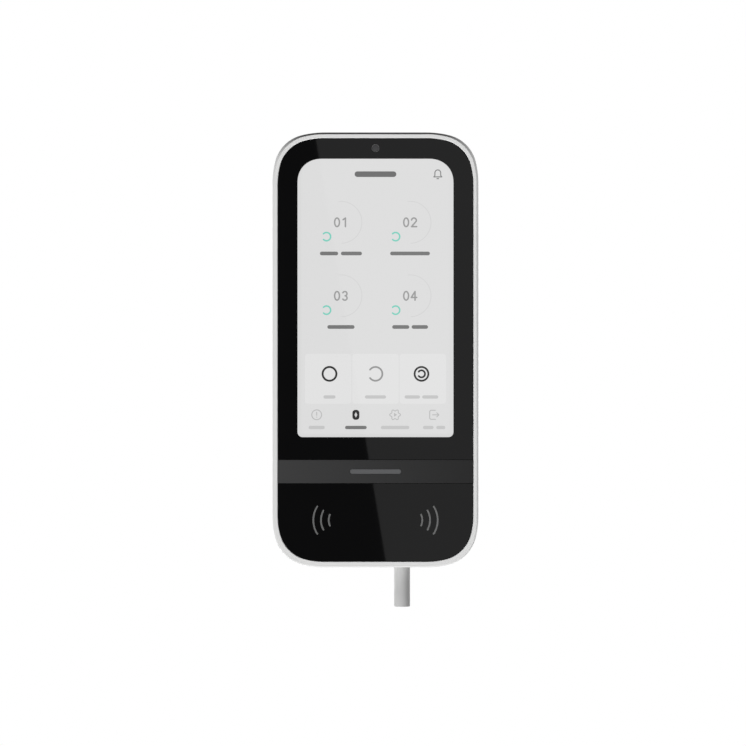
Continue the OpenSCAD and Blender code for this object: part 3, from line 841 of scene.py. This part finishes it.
def add_tiles():
    """Four rooms: a faint arc, a green open ring and a number each."""
    circles, arcs, numerals = Layer(*on_picture), Layer(*on_picture), Layer(*on_picture)
    for k, (x, y) in enumerate(tiles):
        circles.stroke(arc(*circles.spot(x, y), tile_r, -88, 96, 24), 0.24)
        arcs.open_ring(x - 5.75, y + 5.7, 1.65, 0.6, 88)
        digit(numerals, 0, x - 1.55, y)
        digit(numerals, k + 1, x + 1.55, y)
    circles.show("circles", 212)
    arcs.show("arcs", 126, 211, 193)
    numerals.show("numerals", 158)


def add_words():
    """The bars that stand in for words: a title, dark labels and pale captions."""
    title, labels, captions = Layer(*on_cards), Layer(*on_cards), Layer(*on_cards)
    title.bars(0, 6.1, 2.23, [(-8.3, 8.3)])
    for (x, y), ends in zip(tiles, label_ends):
        labels.bars(x, y + 12.4, 1.47, ends)
    for x, ends in zip((-sign_x, 0, sign_x), card_ends):
        captions.bars(x, 94.75, 1.31, ends)
    for k, (x, ends) in enumerate(zip(menu_x, menu_ends)):
        (labels if k == menu_chosen else captions).bars(x, menu_y + 5.05, 1.33, ends)
    title.show("title", 112)
    captions.show("captions", 200)
    labels.show("labels", 122)


def add_signs():
    """The signs on the cards, and the chosen sign of the menu."""
    dark = Layer(*on_cards)
    dark.ring(-sign_x, sign_y, sign_r, 0.8)
    dark.ring(sign_x, sign_y, sign_r, 0.76)
    dark.open_ring(sign_x, sign_y, 1.4, 0.74, 76)
    dark.shape(rounded(*dark.spot(menu_x[menu_chosen], menu_y), 2.78, 3.97, 1.19))
    dark.show("dark_icons", 54)
    mid = Layer(*on_cards)
    mid.open_ring(0, sign_y, sign_r, 0.7, 76)
    mid.show("mid_icons", 152)
    diamond = Layer(*on_icons)
    corners = ((0, -1.1), (-0.6, 0), (0, 1.1), (0.6, 0))
    diamond.shape(diamond.spots(menu_x[menu_chosen], menu_y, corners))
    diamond.show("diamond", 214)


def add_bell():
    """The bell at the top: a crown with two flanks, its foot and its clapper."""
    bell = Layer(*on_cards)
    crown = arc(0, 0, bell_r, -170, -10, 10)
    flank = [(bell_r, 0.24), (bell_r, 1.03), (bell_r + 0.28, 1.47)]
    bell.line(bell_x, bell_y, 0.4, *[(-x, y) for x, y in reversed(flank)], *crown, *flank)
    bell.line(bell_x, bell_y, 0.4, (-1.6, 1.63), (1.6, 1.63))
    bell.line(bell_x, bell_y, 0.4, (-0.32, 2.34), (0.32, 2.34))
    bell.show("bell", 128)


def add_menu():
    """The pale signs of the menu: a warning, a wavy ring with a pointer, and a door with an arrow."""
    warning_x, _, play_x, door_x = menu_x
    soft = Layer(*on_cards)
    soft.ring(warning_x, menu_y, 1.95, 0.38)
    soft.line(warning_x, menu_y, 0.36, (0, -1.0), (0, 0.2))
    soft.line(warning_x, menu_y, 0.36, (0, 0.9), (0, 1.0))
    petals = []
    for q in (math.pi * k / 30 for k in range(60)):
        r = 1.83 + 0.32 * math.cos(6 * q)
        petals.append((r * math.cos(q), r * math.sin(q)))
    soft.line(play_x, menu_y, 0.38, *petals, closed=True)
    soft.shape(soft.spots(play_x, menu_y, ((-0.44, 0.8), (0.83, 0), (-0.44, -0.8))))
    door = [(0.44, -1.8), (-1.43, -1.8), (-1.83, -1.4), (-1.83, 1.4), (-1.43, 1.8), (0.44, 1.8)]
    soft.line(door_x, menu_y, 0.38, *door)
    soft.line(door_x, menu_y, 0.38, (-0.64, 0), (1.75, 0))
    soft.line(door_x, menu_y, 0.38, (1.0, -0.8), (1.83, 0), (1.0, 0.8))
    soft.show("soft_icons", 190)


for add_layer in (add_picture, add_tiles, add_words, add_signs, add_bell, add_menu):
    add_layer()

# ---------- contactless signs on the reader window ----------

# Each wave is part of a circle: how far right its crown lies, its radius and half its angle.
wave_arcs = ((24.72, 10.14, 32.4), (21.68, 7.87, 29.0), (18.6, 5.3, 24.5))
wave_y, wave_w = middle("reader_board")[1] + 0.3, 0.66

waves = Sheet(glass_z - 0.02, glass_z + 0.02)
for crown_x, r, half in wave_arcs:
    wave = arc(crown_x - r, wave_y, r, -half, half, 18)
    waves.stroke(wave, wave_w)
    waves.stroke([(-x, y) for x, y in reversed(wave)], wave_w)
waves.make("reader_signs", wave_print, "housing", "black_glass")

# ---------- lens and its ring ----------

ring_top = glass_z - 0.05
ring_path = [(lens_r, glue_z), (lens_r, ring_top - 0.05), (lens_r - 0.05, ring_top)]
ring_path += [(lens_r - 0.15, ring_top), (lens_r - 0.2, ring_top - 0.05), (lens_r - 0.22, glue_z)]
lens_ring = loft(turned(ring_path, (lens_x, lens_y)))
finish_mesh("lens_ring", *lens_ring, ring_finish, "housing", slot="lens_plastic")

dome_r, dome_z, dome_h = lens_r - 0.25, ring_top - 0.16, 0.14
dome_path = [(dome_r, lens[4]), (dome_r, dome_z)]
for q in (math.radians(a) for a in range(10, 90, 10)):
    dome_path.append((dome_r * math.cos(q), dome_z + dome_h * math.sin(q)))
dome_path.append((0.02, dome_z + dome_h))
lens_dome = loft(turned(dome_path, (lens_x, lens_y)), caps=True)
lens_dome = finish_mesh("lens_dome", *lens_dome, lens_finish, "housing", slot="lens_plastic")
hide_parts("sensor_lens")

# ---------- cable: sheath, conductors and copper ends ----------

sheath_low, sheath_top, sheath_t = cable[2], cable[3], 0.9
bore_r = cable_r - sheath_t
sheath_path = [
    (bore_r, sheath_low + 0.05),
    (bore_r + 0.06, sheath_low),
    (cable_r - 0.28, sheath_low),
    (cable_r - 0.08, sheath_low + 0.06),
    (cable_r, sheath_low + 0.24),
]
sheath_path += [(cable_r, sheath_low + (sheath_top - sheath_low) * k / 6) for k in range(1, 6)]
sheath_path += [(cable_r, sheath_top - 0.1), (cable_r - 0.1, sheath_top), (bore_r, sheath_top)]
sheath = loft(turned(sheath_path, (cable_x, cable_z), "y", 64))
sheath = finish_mesh("cable_sheath", *sheath, jacket, "housing", slot="cable_sheath")
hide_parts("cable_jacket")


def curve_through(points, steps=10):
    """A smooth path through points."""
    pts = [Vector(p) for p in points]
    pts = [pts[0] * 2 - pts[1]] + pts + [pts[-1] * 2 - pts[-2]]
    path = []
    for i in range(1, len(pts) - 2):
        a, b, c, d = pts[i - 1 : i + 3]
        for t in (k / steps for k in range(steps)):
            bent = (2 * a - 5 * b + 4 * c - d) * t * t + (3 * b - a - 3 * c + d) * t**3
            path.append(0.5 * (2 * b + (c - a) * t + bent))
    return path + [pts[-2]]


def tube_along(name, path, r, material, slot, steps=16):
    """A round piece of the housing along a path of vectors."""
    rings = []
    angles = [2 * math.pi * k / steps for k in range(steps)]
    for i, p in enumerate(path):
        ahead = (path[min(i + 1, len(path) - 1)] - path[max(i - 1, 0)]).normalized()
        u = ahead.cross(Vector((0, 0, 1))).normalized()
        v = ahead.cross(u)
        rings.append([tuple(p + r * (math.cos(q) * u + math.sin(q) * v)) for q in angles])
    return finish_mesh(name, *loft(rings, caps=True), material, "housing", slot=slot)


pole_step, pole_lift = 3.5, 0.2
core_r, bare_r, core_off = 0.8, 0.42, 0.95
# Each wire's colour, and on which side and level it lies in the cable.
wires = (
    ("wire_red", (0.55, 0.02, 0.02), -1, -1),
    ("wire_black", (0.018, 0.018, 0.018), -1, 1),
    ("wire_green", (0.02, 0.25, 0.07), 1, 1),
    ("wire_yellow", (0.75, 0.52, 0.03), 1, -1),
)
for i, (node, color, side, level) in enumerate(wires):
    cut_y, end_y = span(node)[2], span(node)[3]
    x0, z0 = cable_x + side * core_off, cable_z + level * core_off
    x1, z1 = cable_x + (i - 1.5) * pole_step, cable_z + pole_lift
    path = [(x0, y, z0) for y in (cut_y + 0.12, sheath_low + 8, sheath_top - 2, sheath_top + 1.5)]
    path.append(((x0 + x1) / 2, sheath_top + 5.8, (z0 + z1) / 2))
    path += [(x1, sheath_top + 10, z1), (x1, end_y - 1, z1)]
    skin = surface(node + "_skin", color, 0.35, spec=0.4, tint=(200, 0.08), grain=(1500, 0.01))
    core = tube_along(node + "_core", curve_through(path), core_r, skin, node)
    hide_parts(node)
    tip = [Vector((x0, cut_y + up, z0)) for up in (0.03, 0.12, 1.2)]
    tube_along(node + "_copper", tip, bare_r, bare_copper, "copper")

# ---------- floor, light and camera ----------


def add_floor():
    """A pale floor, seen but dim as a source of light."""
    m, n = blank_material("pale_floor")
    tone = n.blend(n.noise(n.place(), 3, 2.0), (0.99, 0.99, 0.99), (1.01, 1.01, 1.01))
    seen = n.add("Emission", {"Color": tone, "Strength": 0.8})
    unseen = n.add("Emission", {"Color": tone, "Strength": 0.12})
    for_camera = n.add("LightPath").outputs["Is Camera Ray"]
    n.add("OutputMaterial", {"Surface": n.add("MixShader", {0: for_camera, 1: unseen, 2: seen})})
    reach, z = 3.0, cad_box[0].z - 1.3
    mesh = bpy.data.meshes.new("floor")
    corners = [(x * reach, y * reach, z) for x, y in ((-1, -1), (1, -1), (1, 1), (-1, 1))]
    mesh.from_pydata(corners, [], [(0, 1, 2, 3)])
    mesh.materials.append(m)
    floor = bpy.data.objects.new("floor", mesh)
    floor.visible_shadow = False
    scene.collection.objects.link(floor)


def add_camera():
    """A long lens straight ahead. The view's width and centre are in mm, at the level of the rim."""
    view_width, view_x, view_y, view_z = 296.74, -0.99, -9.21, front_z - 0.9
    data = bpy.data.cameras.new("camera")
    data.lens, data.sensor_width = 150, 36
    data.clip_start, data.clip_end = 0.01, 50
    camera = bpy.data.objects.new("camera", data)
    camera.location = at((view_x, view_y, view_z + view_width * data.lens / data.sensor_width))
    camera.rotation_euler = (math.pi / 2, 0, 0)
    scene.collection.objects.link(camera)
    bpy.context.scene.camera = camera
    scene.view_settings.view_transform = "Standard"


def add_world():
    """A studio that looks different to the camera, to reflections and as a source of light."""
    world = bpy.data.worlds.new("studio")
    scene.world = world
    world.use_nodes = True
    n = Nodes(world.node_tree)
    ray = n.add("LightPath").outputs
    dx, dy, dz = n.add("SeparateXYZ", {0: n.add("TexCoord").outputs["Generated"]}).outputs

    # reflections from behind the camera: black, with a dim card right of a slanting edge
    away = n.math("MAXIMUM", n.math("MULTIPLY", dy, -1.0), 0.0001)
    slope_x, slope_z = n.math("DIVIDE", dx, away), n.math("DIVIDE", dz, away)
    card_edge = n.math("MULTIPLY_ADD", slope_z, -0.1655, -0.0059)
    card = n.math("MULTIPLY_ADD", n.math("GREATER_THAN", slope_x, card_edge), 0.4, 0.003)
    near_x = n.math("LESS_THAN", n.math("ABSOLUTE", slope_x), 0.2)
    near_z = n.math("LESS_THAN", n.math("ABSOLUTE", slope_z), 0.25)
    inside = n.math("MULTIPLY", n.math("MULTIPLY", near_x, near_z), n.math("LESS_THAN", dy, 0.0))

    # reflections from elsewhere: grey in front, brighter to the left and below, and pale low down behind
    front_side = n.math("MULTIPLY_ADD", dx, -0.12, 0.3)
    front_side = n.math("MULTIPLY_ADD", dz, -0.25, front_side, clamp=True)
    behind = n.ramp(dz, 0.0, 0.14, 0.95, 0.02)
    around = n.blend(n.ramp(dy, -0.1, 0.25, 0.0, 1.0), front_side, behind)
    mirror = n.blend(inside, around, card)

    # the camera sees white straight ahead and pale grey elsewhere
    backdrop = n.blend(n.ramp(dy, 0.95, 0.985, 0.0, 1.0), (0.8, 0.8, 0.8), (1.0, 1.0, 1.0))
    unseen = n.blend(ray["Is Glossy Ray"], (0.045, 0.045, 0.045), mirror)
    value = n.blend(ray["Is Camera Ray"], unseen, backdrop)
    n.add("OutputWorld", {"Surface": n.add("Background", {"Color": value, "Strength": 1.0})})


def studio_light(name, toward, level):
    """A far soft light in the direction toward. level: what a white face turned to it sends back."""
    data = bpy.data.lights.new(name, "SUN")
    data.energy, data.angle = level * math.pi, math.radians(10)
    lamp = bpy.data.objects.new(name, data)
    lamp.visible_glossy = False
    lamp.rotation_mode = "QUATERNION"
    lamp.rotation_quaternion = Vector(toward).to_track_quat("Z", "Y")
    scene.collection.objects.link(lamp)


add_floor()
add_camera()
add_world()
studio_light("key", (-0.62, -0.54, -0.57), 0.93)
studio_light("fill", (0.7, -0.54, -0.48), 0.53)
studio_light("back_left", (-0.45, 0.75, 0.48), 0.42)
studio_light("back_right", (0.45, 0.75, 0.48), 0.5)
